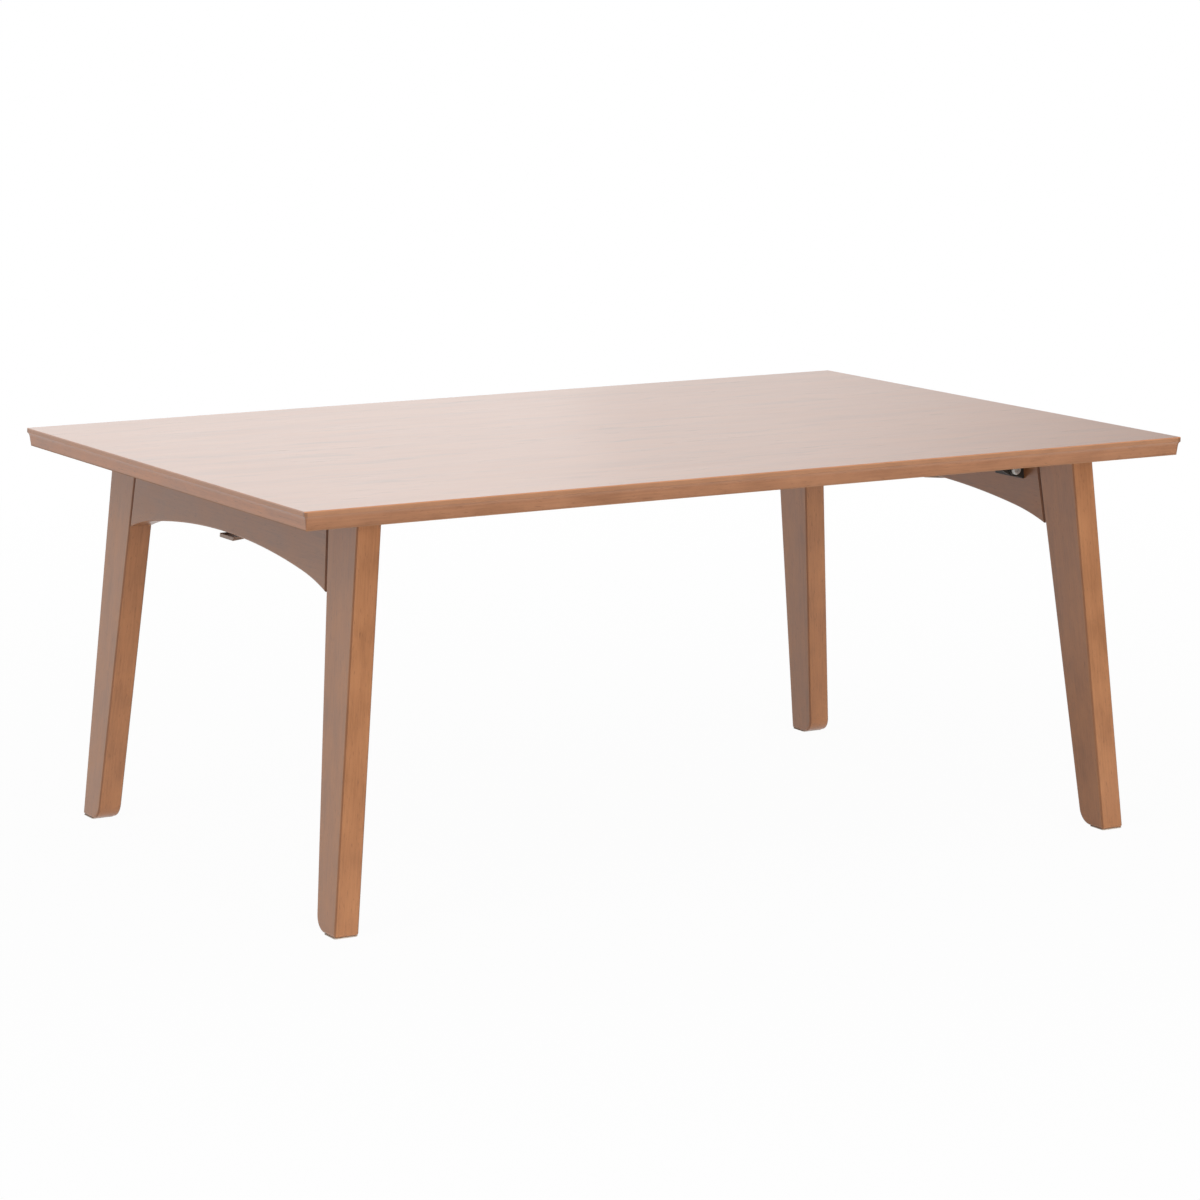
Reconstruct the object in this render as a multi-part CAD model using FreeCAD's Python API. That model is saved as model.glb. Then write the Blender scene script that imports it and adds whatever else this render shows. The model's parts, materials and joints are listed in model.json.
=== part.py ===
import FreeCAD, Part
import math
import os

from FreeCAD import Placement, Rotation, Vector

# A folding floor table: a veneered top on two splayed leg frames that swing in under it.
# Sizes are in millimetres and degrees. The origin lies on the floor under the middle of the top.
# X runs along the table, Y from its front to its back, Z up.

# Table top
table_length = 900.0
table_width = 600.0
table_height = 373.0
core_thickness = 15.0
veneer_thickness = 1.0
backing_thickness = 0.8
lipping_width = 12.0
rim_band = 4.3
rim_cove = 1.6
rim_cove_height = 3.2
rim_hollow = 0.3
rim_lean = 0.9
rim_round = 0.5

# Leg frames
splay_angle = 5.4
foot_setback = 36.0
leg_side_setback = 42.0
leg_kick = 14.3
leg_thickness = 23.0
leg_top_width = 56.0
leg_foot_width = 35.5
foot_round = 15.0
leg_edge_round = 2.0
stop_gap = 0.3
pad_thickness = 1.0
pad_inset = 0.4
pad_corner = 2.0

# Arched aprons
apron_middle_depth = 46.7
arch_radius = 1080.0
arch_end_radius = 260.0
arch_end_length = 46.0
arch_overrun = 1.5
apron_groove = 3.0
apron_edge_round = 1.5
dowel_diameter = 8.0
dowel_length = 40.0
dowel_clearance = 0.05
upper_dowel_drop = 17.0
dowel_spacing = 28.0

# Fold hinges
pivot_offset = 9.5
pivot_drop = 21.0
pivot_clearance = 0.08
pivot_play = 0.1
hinge_inset = 23.0
bracket_gauge = 2.0
apron_ear_radius = 5.5
apron_ear_foot = 9.6
apron_flange_length = 44.0
apron_flange_rise = 14.5
ear_clearance = 1.0
top_flange_reach = 38.0
top_flange_width = 40.0
top_ear_toe = 7.0
bolt_diameter = 5.0
bolt_head_diameter = 9.0
bolt_head_height = 3.5
bolt_head_round = 1.6
bolt_tail = 1.5
nut_across_flats = 8.0
nut_height = 4.0
washer_diameter = 10.0
washer_thickness = 1.0

# Latches
latch_width = 28.0
latch_gauge = 1.5
latch_travel = 5.0
slide_gap = 0.3
housing_gauge = 1.2
housing_depth = 7.5
housing_height = 26.0
housing_foot = 10.0
tongue_width = 16.0
tongue_offset = 4.0
tongue_top_gap = 2.2
tongue_height = 3.8
tongue_bevel = 0.9
lug_width = 10.0
tab_drop = 6.1
tab_pitch = 11.0
tab_setback = 2.0
tab_lip = 3.1
tab_wall = 3.6
keeper_gauge = 1.2
keeper_gap = 0.3
keeper_lip_gap = 0.6
keeper_length = 24.0
keeper_width = 30.0
spring_diameter = 4.6
spring_wire = 0.6
spring_turns = 9
spring_end_gap = 0.1

# Wood screws with a pan head and a cross recess
screw_diameter = 3.5
screw_head_diameter = 6.6
screw_head_height = 2.3
screw_head_round = 1.4
screw_recess_length = 4.0
screw_recess_width = 0.9
screw_recess_depth = 1.3
screw_tip = 3.0
screw_tip_radius = 0.45
screw_end_room = 0.75
screw_clearance = 0.05
screw_margin = 5.0
top_screw_length = 13.0
apron_screw_length = 18.0

# Heights of the layers of the top
underside = table_height - veneer_thickness - core_thickness - backing_thickness
core_bottom = underside + backing_thickness
core_top = core_bottom + core_thickness
rim_inset = rim_cove + rim_lean

# Edges of a leg across the table, at the floor and at the underside of the top
leg_outer_top = table_width / 2 - leg_side_setback
leg_outer_foot = leg_outer_top + leg_kick
leg_inner_top = leg_outer_top - leg_top_width
leg_inner_foot = leg_outer_foot - leg_foot_width

# The right leg frame's own axes: u outward from its inner face, Y, and v up its slope.
# Their origin is where the inner face would meet the underside of the top.
splay = math.radians(splay_angle)
foot_outer_x = table_length / 2 - foot_setback
frame_x = foot_outer_x - underside * math.tan(splay) - leg_thickness / math.cos(splay)
frame_place = Placement(Vector(frame_x, 0, underside), Rotation(Vector(0, 1, 0), -splay_angle))

# The fold axis, on the frame's axes and in the table's frame
pivot_u = -pivot_offset
pivot_v = -pivot_drop
pivot = frame_place.multVec(Vector(pivot_u, 0, pivot_v))

# Stack of pieces along the pivot bolt, as distances from the middle of the table
apron_ear_outer = leg_inner_top - hinge_inset
apron_ear_inner = apron_ear_outer - bracket_gauge
spacer_outer = apron_ear_inner - pivot_play
top_ear_outer = spacer_outer - washer_thickness - pivot_play
top_ear_inner = top_ear_outer - bracket_gauge
washer_outer = top_ear_inner - pivot_play
nut_outer = washer_outer - washer_thickness
bolt_end = nut_outer - nut_height - bolt_tail
top_ear_radius = pivot_offset - bracket_gauge - ear_clearance
pivot_bore = bolt_diameter / 2 + pivot_clearance

# Heights of the latch along the slope of the frame
soffit = underside - apron_middle_depth
tongue_top = -tongue_top_gap
joggle_top = tongue_top - tongue_height
joggle_bottom = joggle_top - latch_gauge
housing_top = joggle_bottom - latch_travel - slide_gap
housing_bottom = housing_top - housing_height
lug_top = housing_top - housing_gauge - slide_gap
lug_bottom = lug_top - latch_gauge
spring_seat = housing_bottom + housing_gauge
tab_bottom = (soffit - underside - leg_thickness * math.sin(splay)) / math.cos(splay) - tab_drop
slide_outer = -slide_gap
slide_inner = slide_outer - latch_gauge

# A reach past the whole table, and the distance within which two places count as one
FAR = 2 * (table_length + table_width)
TOUCH = 1e-4


def box(x0, x1, y0, y1, z0, z1):
    """A block between two corners, given as ranges along the three axes."""
    return Part.makeBox(x1 - x0, y1 - y0, z1 - z0, Vector(x0, y0, z0))


def plate_across(points, y0, y1):
    """A plate with an outline of (x, z) points that runs from y0 to y1."""
    corners = [Vector(x, y0, z) for x, z in points]
    outline = Part.makePolygon(corners + corners[:1])
    return Part.Face(outline).extrude(Vector(0, y1 - y0, 0))


def plate_along(points):
    """A bar with an outline of (y, z) points that runs along X through the whole right half."""
    corners = [Vector(0, y, z) for y, z in points]
    outline = Part.makePolygon(corners + corners[:1])
    return Part.Face(outline).extrude(Vector(table_length, 0, 0))


def rod_across(radius, x, y0, y1, z):
    """A round rod along Y."""
    return Part.makeCylinder(radius, y1 - y0, Vector(x, y0, z), Vector(0, 1, 0))


def edges_where(shape, test):
    """The edges of a shape whose ends all pass a test on their place."""
    return [edge for edge in shape.Edges if all(test(vertex.Point) for vertex in edge.Vertexes)]


def near(a, b):
    """Whether two sizes are the same."""
    return abs(a - b) < TOUCH


def on_frame(shape):
    """Set a shape drawn on the right frame's own axes in its place on the table."""
    return shape.transformed(frame_place.toMatrix(), True)


def off_frame(point):
    """A point of the table on the right frame's own axes."""
    return frame_place.inverse().multVec(point)


def to_front(shape):
    """The front copy of a shape at the back of the table."""
    return shape.mirror(Vector(0, 0, 0), Vector(0, 1, 0))


def to_left(shape):
    """The same shape turned half round, at the other end of the table."""
    half_turn = Placement(Vector(0, 0, 0), Rotation(Vector(0, 0, 1), 180))
    return shape.transformed(half_turn.toMatrix(), True)


def one_solid(shape):
    """Pieces of one solid joined, with no seams left between faces that line up."""
    return shape.removeSplitter().Solids[0]


def group(solids):
    """One solid as it is, or several equal ones as a group."""
    return Part.makeCompound(solids) if len(solids) > 1 else solids[0]


# Fasteners

def pan_screw(length):
    """A wood screw that points down from the plane z = 0, with its head above it."""
    shank_radius = screw_diameter / 2
    head = Part.makeCylinder(screw_head_diameter / 2, screw_head_height)
    rim = [edge for edge in head.Edges if near(edge.CenterOfMass.z, screw_head_height)]
    head = head.makeFillet(screw_head_round, rim)
    recess_floor = screw_head_height - screw_recess_depth
    arm = screw_recess_length / 2
    slot = screw_recess_width / 2
    cross = box(-arm, arm, -slot, slot, recess_floor, screw_head_height)
    cross = cross.fuse(box(-slot, slot, -arm, arm, recess_floor, screw_head_height))
    shank = Part.makeCylinder(shank_radius, length - screw_tip, Vector(0, 0, screw_tip - length))
    tip = Part.makeCone(screw_tip_radius, shank_radius, screw_tip, Vector(0, 0, -length))
    return one_solid(head.cut(cross).fuse([shank, tip]))


def screws_at(points, outward, length):
    """A row of equal screws whose heads seat at the points and face outward."""
    turn = Rotation(Vector(0, 0, 1), outward)
    screw = pan_screw(length)
    return [screw.transformed(Placement(point, turn).toMatrix(), True) for point in points]


def holes_at(points, outward, length):
    """The bores that the shanks of a row of screws need, with a little room past the tips."""
    radius = screw_diameter / 2 + screw_clearance
    start = [point + outward * screw_head_height for point in points]
    reach = screw_head_height + length + screw_end_room
    return [Part.makeCylinder(radius, reach, point, -outward) for point in start]


# Table top

def rim_profile():
    """Section of a lipping as (inset from the table's edge, height): band, cove and leaning face."""
    band_top = Vector(0, 0, core_top)
    band_foot = Vector(0, 0, table_height - rim_band)
    cove_foot = band_foot + Vector(0, rim_cove, -rim_cove_height)
    into_wood = Vector(0, rim_cove_height, rim_cove).normalize()
    deepest = (band_foot + cove_foot) * 0.5 + into_wood * rim_hollow
    cove = Part.Arc(band_foot, deepest, cove_foot).toShape()
    rest = [cove_foot, Vector(0, rim_inset, core_bottom), Vector(0, lipping_width, core_bottom),
            Vector(0, lipping_width, core_top), band_top]
    return Part.Wire([Part.makeLine(band_top, band_foot), cove] + Part.makePolygon(rest).Edges)


def lipping(length, width):
    """A mitred edge strip of the given length along X, at the front of a top of the given width."""
    section = Part.Face(rim_profile())
    section.translate(Vector(-length / 2, -width / 2, 0))
    bar = section.extrude(Vector(length, 0, 0))
    outer = length / 2
    inner = outer - lipping_width
    back = lipping_width - width / 2
    mitre = [Vector(-outer, -width / 2, core_bottom), Vector(outer, -width / 2, core_bottom),
             Vector(inner, back, core_bottom), Vector(-inner, back, core_bottom)]
    plan = Part.Face(Part.makePolygon(mitre + mitre[:1])).extrude(Vector(0, 0, core_thickness))
    return bar.common(plan).Solids[0]


def turned(shape, angle):
    """A shape turned about the upright axis of the table."""
    return shape.transformed(Placement(Vector(0, 0, 0), Rotation(Vector(0, 0, 1), angle)).toMatrix(), True)


def top_panel(bores):
    """The layers of the top, with the screw bores cut into the core and the backing."""
    half_length = table_length / 2
    half_width = table_width / 2
    core = box(lipping_width - half_length, half_length - lipping_width,
               lipping_width - half_width, half_width - lipping_width, core_bottom, core_top)
    veneer = box(-half_length, half_length, -half_width, half_width, core_top, table_height)
    veneer = veneer.makeFillet(rim_round, edges_where(veneer, lambda point: near(point.z, table_height)))
    backing = box(rim_inset - half_length, half_length - rim_inset,
                  rim_inset - half_width, half_width - rim_inset, underside, core_bottom)
    long_strip = lipping(table_length, table_width)
    short_strip = lipping(table_width, table_length)
    return {
        "core_panel": core.cut(bores).Solids[0],
        "top_veneer": veneer,
        "underside_veneer": backing.cut(bores).Solids[0],
        "front_lipping": long_strip,
        "back_lipping": turned(long_strip, 180),
        "left_lipping": turned(short_strip, -90),
        "right_lipping": turned(short_strip, 90),
    }


# Leg frames

def leg_outer(z):
    """Distance of a leg's outer edge from the middle of the table at a height."""
    return leg_outer_foot + (leg_outer_top - leg_outer_foot) * z / underside


def leg_inner(z):
    """Distance of a leg's inner edge from the middle of the table at a height."""
    return leg_inner_foot + (leg_inner_top - leg_inner_foot) * z / underside


def frame_slab():
    """The sloping board that a whole leg frame is cut from."""
    return on_frame(box(0, leg_thickness, -FAR, FAR, -FAR, FAR))


def on_face(point):
    """Whether a point lies on the inner or outer face of the leg frame."""
    u = off_frame(point).x
    return near(u, 0) or near(u, leg_thickness)


def leg():
    """The back leg of the right frame: tapered, splayed both ways, rounded at the foot."""
    top = underside - stop_gap
    outline = [(leg_outer(pad_thickness), pad_thickness), (leg_outer(top), top),
               (leg_inner(top), top), (leg_inner(pad_thickness), pad_thickness)]
    shape = plate_along(outline).common(frame_slab()).Solids[0]
    inner_toe = leg_inner(pad_thickness)
    outer_toe = leg_outer(pad_thickness)
    toe = edges_where(shape, lambda point: near(point.z, pad_thickness) and near(point.y, inner_toe))
    shape = shape.makeFillet(foot_round, toe)
    long_edges = [edge for edge in edges_where(shape, on_face)
                  if not all(near(vertex.Z, top) for vertex in edge.Vertexes)]
    heel = edges_where(shape, lambda point: near(point.z, pad_thickness) and near(point.y, outer_toe))
    return shape.makeFillet(leg_edge_round, long_edges + heel)


def arch_outline():
    """The apron from its end of the table: a flat top, and a flat arc that tightens and runs on into
    both legs."""
    top = underside - stop_gap
    turn_y = leg_inner(soffit) - arch_end_length
    turn = math.asin(turn_y / arch_radius)
    end_turn = turn + arch_overrun * arch_end_length / arch_end_radius

    def soffit_point(angle):
        if angle <= turn:
            return Vector(0, arch_radius * math.sin(angle), soffit - arch_radius * (1 - math.cos(angle)))
        middle_y = (arch_radius - arch_end_radius) * math.sin(turn)
        middle_z = soffit - arch_radius + (arch_radius - arch_end_radius) * math.cos(turn)
        return Vector(0, middle_y + arch_end_radius * math.sin(angle),
                      middle_z + arch_end_radius * math.cos(angle))

    def front(point):
        return Vector(0, -point.y, point.z)

    crown = soffit_point(0)
    spring = soffit_point(turn)
    haunch = soffit_point((turn + end_turn) / 2)
    end = soffit_point(end_turn)
    corner = Vector(0, end.y, top)
    return Part.Wire([
        Part.Arc(front(end), front(haunch), front(spring)).toShape(),
        Part.Arc(front(spring), crown, spring).toShape(),
        Part.Arc(spring, haunch, end).toShape(),
        Part.makeLine(end, corner),
        Part.makeLine(corner, front(corner)),
        Part.makeLine(front(corner), front(end)),
    ])


def apron(bores):
    """The arched rail between the legs of the right frame, with a groove left at each joint."""
    low = soffit - apron_middle_depth
    between = [(leg_inner(low), low), (leg_inner(underside), underside),
               (-leg_inner(underside), underside), (-leg_inner(low), low)]
    rail = Part.Face(arch_outline()).extrude(Vector(table_length, 0, 0))
    rail = rail.common(frame_slab()).common(plate_along(between)).Solids[0]

    def at_joint(point):
        return on_face(point) and near(abs(point.y), leg_inner(point.z))

    joints = edges_where(rail, at_joint)
    rail = rail.makeChamfer(apron_groove, [edge for edge in joints if edge.Length < table_width / 2])
    arch = [edge for edge in edges_where(rail, on_face) if edge.Curve.TypeId != "Part::GeomLine"]
    rail = rail.makeFillet(apron_edge_round, arch)
    return rail.cut(bores).Solids[0]


def dowel_places():
    """Place of each dowel of the back joint of the right frame: middle of the board, on the joint."""
    for drop in (upper_dowel_drop, upper_dowel_drop + dowel_spacing):
        point = frame_place.multVec(Vector(leg_thickness / 2, 0, -drop))
        yield Vector(point.x, leg_inner(point.z), point.z)


def dowel_rods(radius, length):
    """Rods along the dowels of the back joint."""
    return [rod_across(radius, place.x, place.y - length / 2, place.y + length / 2, place.z)
            for place in dowel_places()]


def foot_pad():
    """The pad glued under the flat of the back foot of the right frame."""
    toe_angle = math.pi / 2 + math.atan((leg_inner_foot - leg_inner_top) / underside)
    flat_start = leg_inner(pad_thickness) + foot_round / math.tan(toe_angle / 2)
    outer_x = foot_outer_x - pad_thickness * math.tan(splay)
    inner_x = outer_x - leg_thickness / math.cos(splay)
    pad = box(inner_x + pad_inset, outer_x - pad_inset,
              flat_start, leg_outer(pad_thickness) - pad_inset, 0, pad_thickness)
    upright = [edge for edge in pad.Edges if near(abs(edge.tangentAt(0).z), 1)]
    return pad.makeFillet(pad_corner, upright)


# Fold hinges

def tangent_point(centre, radius, point, turn_sign):
    """Where the line from a point touches a circle in the XZ plane, a turn either way from the point."""
    away = Vector(point.x - centre.x, 0, point.z - centre.z)
    start = math.atan2(away.z, away.x)
    turn = math.acos(radius / away.Length)
    angle = start + turn_sign * turn
    return centre.x + radius * math.cos(angle), centre.z + radius * math.sin(angle)


def top_flange_range():
    """The range of a top bracket's flange along X and, at the back of the table, along Y."""
    return (pivot.x - top_flange_reach, pivot.x + top_ear_radius,
            top_ear_outer - top_flange_width, top_ear_outer)


def top_bracket_screw_points():
    """Where the screws of the right back top bracket seat."""
    x0, x1, y0, _ = top_flange_range()
    seat = underside - bracket_gauge
    return [Vector(x0 + screw_margin, top_ear_inner - screw_margin, seat),
            Vector(x0 + screw_margin, y0 + screw_margin, seat),
            Vector(x1 - screw_margin, y0 + screw_margin, seat)]


def top_bracket():
    """The angle bracket under the top at the right back, whose ear carries the pivot bolt."""
    x0, x1, y0, y1 = top_flange_range()
    flange = box(x0, x1, y0, y1, underside - bracket_gauge, underside)
    toe = Vector(x0, 0, underside - top_ear_toe)
    outer_u = pivot_u + top_ear_radius
    outer_low = frame_place.multVec(Vector(outer_u, 0, pivot_v))
    outer_high = frame_place.multVec(Vector(outer_u, 0, -outer_u * math.tan(splay)))
    web = plate_across([(outer_low.x, outer_low.z), (outer_high.x, outer_high.z), (x0, underside),
                        (toe.x, toe.z), tangent_point(pivot, top_ear_radius, toe, 1), (pivot.x, pivot.z)],
                       top_ear_inner, top_ear_outer)
    boss = rod_across(top_ear_radius, pivot.x, top_ear_inner, top_ear_outer, pivot.z)
    bore = rod_across(pivot_bore, pivot.x, top_ear_inner, top_ear_outer, pivot.z)
    bores = holes_at(top_bracket_screw_points(), Vector(0, 0, -1), top_screw_length)
    return one_solid(flange.fuse([web, boss]).cut([bore] + bores))


def apron_flange_range():
    """The range of an apron bracket's flange along Y, at the back, and up the slope."""
    return (apron_ear_outer - apron_flange_length, apron_ear_outer,
            pivot_v - apron_ear_foot, pivot_v + apron_flange_rise)


def apron_bracket_screw_points():
    """Where the screws of the right back apron bracket seat, on the frame's axes."""
    y0, _, v0, v1 = apron_flange_range()
    return [Vector(-bracket_gauge, (y0 + apron_ear_inner) / 2, v0 + screw_margin),
            Vector(-bracket_gauge, y0 + screw_margin, v1 - screw_margin)]


def apron_bracket():
    """The angle bracket on the inner face of the apron at the back, on the frame's axes."""
    y0, y1, v0, v1 = apron_flange_range()
    flange = box(-bracket_gauge, 0, y0, y1, v0, v1)
    low_touch = tangent_point(Vector(pivot_u, 0, pivot_v), apron_ear_radius, Vector(0, 0, v0), -1)
    web = plate_across([(0, v0), (0, v1), (pivot_u, pivot_v + apron_ear_radius),
                        (pivot_u, pivot_v), low_touch], apron_ear_inner, apron_ear_outer)
    boss = rod_across(apron_ear_radius, pivot_u, apron_ear_inner, apron_ear_outer, pivot_v)
    bore = rod_across(pivot_bore, pivot_u, apron_ear_inner, apron_ear_outer, pivot_v)
    bores = holes_at(apron_bracket_screw_points(), Vector(-1, 0, 0), apron_screw_length)
    return one_solid(flange.fuse([web, boss]).cut([bore] + bores))


def pivot_bolt():
    """The pivot bolt at the back of the right frame, with its head towards the leg."""
    head = rod_across(bolt_head_diameter / 2, pivot.x, apron_ear_outer,
                      apron_ear_outer + bolt_head_height, pivot.z)
    crown = apron_ear_outer + bolt_head_height
    rim = [edge for edge in head.Edges if near(edge.CenterOfMass.y, crown)]
    head = head.makeFillet(bolt_head_round, rim)
    shank = rod_across(bolt_diameter / 2, pivot.x, bolt_end, apron_ear_outer, pivot.z)
    arm = screw_recess_length / 2
    slot = screw_recess_width / 2
    floor = crown - screw_recess_depth
    cross = box(pivot.x - arm, pivot.x + arm, floor, crown, pivot.z - slot, pivot.z + slot)
    cross = cross.fuse(box(pivot.x - slot, pivot.x + slot, floor, crown, pivot.z - arm, pivot.z + arm))
    return one_solid(head.cut(cross).fuse(shank))


def pivot_nut():
    """The nut at the inner end of the pivot bolt."""
    reach = nut_across_flats / math.sqrt(3)
    corners = [(pivot.x + reach * math.cos(math.radians(60 * step)),
                pivot.z + reach * math.sin(math.radians(60 * step))) for step in range(6)]
    nut = plate_across(corners, nut_outer - nut_height, nut_outer)
    bore = rod_across(pivot_bore, pivot.x, nut_outer - nut_height, nut_outer, pivot.z)
    return nut.cut(bore).Solids[0]


def pivot_washers():
    """The spacer between the two ears, and the washer under the nut."""
    rings = []
    for outer in (spacer_outer, washer_outer):
        ring = rod_across(washer_diameter / 2, pivot.x, outer - washer_thickness, outer, pivot.z)
        bore = rod_across(pivot_bore, pivot.x, outer - washer_thickness, outer, pivot.z)
        rings.append(ring.cut(bore).Solids[0])
    return rings


# Latches, drawn on the frame's axes

def latch_slide():
    """The sprung slide: a joggled tongue above, a lug for the spring, and a finger tab below."""
    half = latch_width / 2
    shoulder = housing_top
    tongue_out = -tongue_offset
    tongue_in = tongue_out - latch_gauge
    tongue = plate_across([(slide_outer, shoulder), (slide_outer, joggle_top), (tongue_out, joggle_top),
                           (tongue_out, tongue_top), (tongue_in + tongue_bevel, tongue_top),
                           (tongue_in, tongue_top - tongue_bevel), (tongue_in, joggle_bottom),
                           (slide_inner, joggle_bottom), (slide_inner, shoulder)],
                          -tongue_width / 2, tongue_width / 2)
    lip_out = leg_thickness - tab_setback
    lip_in = lip_out - latch_gauge
    slope = math.radians(tab_pitch)

    def tab_under(u):
        return tab_bottom + (lip_out - u) * math.tan(slope)

    def tab_over(u):
        return tab_under(u) + latch_gauge / math.cos(slope)

    body = plate_across([(slide_inner, shoulder), (slide_outer, shoulder),
                         (slide_outer, tab_over(slide_outer)), (lip_in, tab_over(lip_in)),
                         (lip_in, tab_bottom + tab_lip),
                         (lip_out, tab_bottom + tab_lip), (lip_out, tab_bottom),
                         (slide_inner, tab_under(slide_inner))], -half, half)
    walls = [plate_across([(slide_outer, tab_under(slide_outer)), (slide_outer, tab_over(slide_outer)),
                           (lip_out, tab_bottom + tab_wall), (lip_out, tab_bottom)], y0, y0 + latch_gauge)
             for y0 in (-half, half - latch_gauge)]
    lug_reach = slide_gap - housing_depth
    lug = box(lug_reach, slide_outer, -lug_width / 2, lug_width / 2, lug_bottom, lug_top)
    window_foot = lug_bottom + lug_reach - slide_inner
    window = box(slide_inner, slide_outer, -lug_width / 2, lug_width / 2, window_foot, lug_bottom)
    return one_solid(tongue.fuse([body.cut(window), lug] + walls))


def housing_screw_points():
    """Where the screws of the latch housing seat."""
    side = latch_width / 2 + slide_gap + housing_gauge + housing_foot / 2
    return [Vector(-housing_gauge, y, v) for y in (-side, side)
            for v in (housing_bottom + screw_margin, housing_top - screw_margin)]


def latch_housing():
    """The pressed cover that guides the slide on the inner face of the apron and seats its spring."""
    inner = latch_width / 2 + slide_gap
    outer = inner + housing_gauge
    edge = outer + housing_foot
    front = -housing_depth - housing_gauge
    shell = box(front, 0, -outer, outer, housing_bottom, housing_top)
    shell = shell.cut(box(-housing_depth, 0, -inner, inner, spring_seat, housing_top - housing_gauge))
    way = box(slide_inner - slide_gap, 0, -inner, inner, housing_bottom, housing_top)
    feet = [box(-housing_gauge, 0, y0, y1, housing_bottom, housing_top)
            for y0, y1 in ((-edge, -inner), (inner, edge))]
    bores = holes_at(housing_screw_points(), Vector(-1, 0, 0), apron_screw_length)
    return one_solid(shell.cut(way).fuse(feet).cut(bores))


def latch_spring():
    """The spring that lifts the slide: a coil between the seat of the housing and the lug."""
    radius = (spring_diameter - spring_wire) / 2
    low = spring_seat + spring_end_gap + spring_wire / 2
    height = lug_bottom - spring_end_gap - spring_wire / 2 - low
    helix = Part.makeHelix(height / spring_turns, height, radius)
    section = Part.Wire(Part.makeCircle(spring_wire / 2, Vector(radius, 0, 0), Vector(0, 1, 0)))
    coil = Part.Wire(helix.Edges).makePipeShell([section], True, True)
    middle = (slide_inner - slide_gap - housing_depth) / 2
    coil.translate(Vector(middle, 0, low))
    return coil


def keeper_range():
    """The range of a keeper along X: from the end of its flange to the outer face of its lip."""
    tongue_foot = frame_place.multVec(Vector(-tongue_offset, 0, joggle_top))
    lip_inner = tongue_foot.x + keeper_gap
    return lip_inner + keeper_gauge - keeper_length, lip_inner, lip_inner + keeper_gauge


def keeper_screw_points():
    """Where the screws of the right keeper seat."""
    x0, _, _ = keeper_range()
    side = keeper_width / 2 - screw_margin
    return [Vector(x0 + screw_margin, y, underside - keeper_gauge) for y in (-side, side)]


def keeper():
    """The bent plate under the top whose lip holds the tongue of the right latch."""
    x0, lip_inner, x1 = keeper_range()
    half = keeper_width / 2
    lip_foot = frame_place.multVec(Vector(slide_outer, 0, joggle_top)).z + keeper_lip_gap
    flange = box(x0, x1, -half, half, underside - keeper_gauge, underside)
    lip = box(lip_inner, x1, -half, half, lip_foot, underside)
    bores = holes_at(keeper_screw_points(), Vector(0, 0, -1), top_screw_length)
    return one_solid(flange.fuse(lip).cut(bores))


# Assembly

def top_hardware():
    """The right half of what is screwed under the top, and the bores that its screws need."""
    down = Vector(0, 0, -1)
    hinge_points = top_bracket_screw_points()
    keeper_points = keeper_screw_points()
    hinge_screws = screws_at(hinge_points, down, top_screw_length)
    bores = holes_at(hinge_points, down, top_screw_length)
    bores = bores + [to_front(bore) for bore in bores] + holes_at(keeper_points, down, top_screw_length)
    bracket = top_bracket()
    pieces = {
        "back_top_bracket": bracket,
        "front_top_bracket": to_front(bracket),
        "top_bracket_screws": hinge_screws + [to_front(screw) for screw in hinge_screws],
        "latch_keeper": keeper(),
        "keeper_screws": screws_at(keeper_points, down, top_screw_length),
    }
    return pieces, bores


def leg_frame():
    """All pieces that swing with the right leg frame, and its latch slide."""
    inward = Vector(-1, 0, 0)
    hinge_points = apron_bracket_screw_points()
    hinge_screws = [on_frame(screw) for screw in screws_at(hinge_points, inward, apron_screw_length)]
    housing_points = housing_screw_points()
    housing_screws = [on_frame(screw) for screw in screws_at(housing_points, inward, apron_screw_length)]
    bores = [on_frame(bore) for bore in holes_at(hinge_points, inward, apron_screw_length)]
    bores = bores + dowel_rods(dowel_diameter / 2 + dowel_clearance, dowel_length + 2 * dowel_clearance)
    bores = bores + [to_front(bore) for bore in bores]
    bores = bores + [on_frame(bore) for bore in holes_at(housing_points, inward, apron_screw_length)]
    back_leg = leg().cut(bores).Solids[0]
    dowels = dowel_rods(dowel_diameter / 2, dowel_length)
    bracket = on_frame(apron_bracket())
    bolt = pivot_bolt()
    nut = pivot_nut()
    washers = pivot_washers()
    pad = foot_pad()
    return {
        "back_leg": back_leg,
        "front_leg": to_front(back_leg),
        "apron": apron(bores),
        "dowels": dowels + [to_front(dowel) for dowel in dowels],
        "back_foot_pad": pad,
        "front_foot_pad": to_front(pad),
        "back_apron_bracket": bracket,
        "front_apron_bracket": to_front(bracket),
        "apron_bracket_screws": hinge_screws + [to_front(screw) for screw in hinge_screws],
        "back_pivot_bolt": bolt,
        "front_pivot_bolt": to_front(bolt),
        "pivot_nuts": [nut, to_front(nut)],
        "pivot_washers": washers + [to_front(washer) for washer in washers],
        "latch_housing": on_frame(latch_housing()),
        "latch_housing_screws": housing_screws,
        "latch_spring": on_frame(latch_spring()),
        "latch_slide": on_frame(latch_slide()),
    }


def other_end(name):
    """The name of a piece once its frame is turned half round: front and back trade places."""
    if name.startswith("front_"):
        return "back_" + name[len("front_"):]
    if name.startswith("back_"):
        return "front_" + name[len("back_"):]
    return name


def table():
    """Every piece of the table by its name."""
    hardware, bores = top_hardware()
    pieces = top_panel(bores + [to_left(bore) for bore in bores])
    for name, shape in {**hardware, **leg_frame()}.items():
        solids = shape if isinstance(shape, list) else [shape]
        pieces["right_" + name] = group(solids)
        pieces["left_" + other_end(name)] = group([to_left(solid) for solid in solids])
    return pieces


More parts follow.
